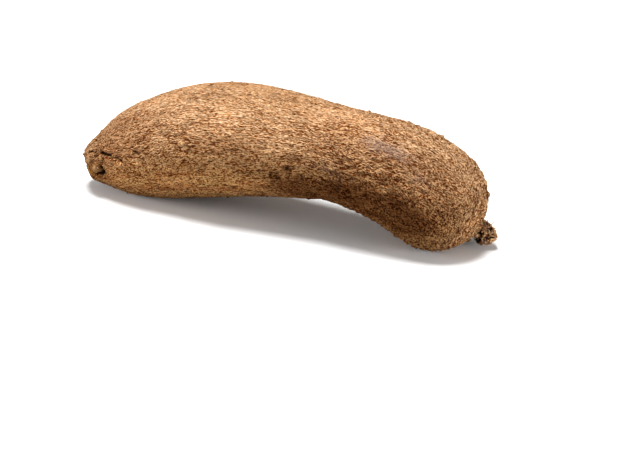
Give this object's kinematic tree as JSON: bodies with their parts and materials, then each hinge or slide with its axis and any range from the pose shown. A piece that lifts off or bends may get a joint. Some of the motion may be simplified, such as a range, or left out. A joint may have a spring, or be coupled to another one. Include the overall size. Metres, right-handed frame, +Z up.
{
  "type": "white yam",
  "caption": "Whole white yam tuber as dug up: thick, gently arched, with bark-like brown skin, a blunt scarred tail and a dark woody crown. Lies on a surface.",
  "frame": {"origin": "on the plane the yam rests on, under the middle of its box", "axes": "+X along the length towards the crown, +Z up, +Y to the back"},
  "size_m": [0.3564, 0.0962, 0.107],
  "materials": {
    "skin": "dry matte bark-like skin, tan on the ridges and dark brown in the crevices",
    "cork": "dry matte pitted cork, dark brown with near-black holes"
  },
  "bodies": {
    "root": {"tuber": "skin", "crown": "cork"}
  },
  "joints": []
}
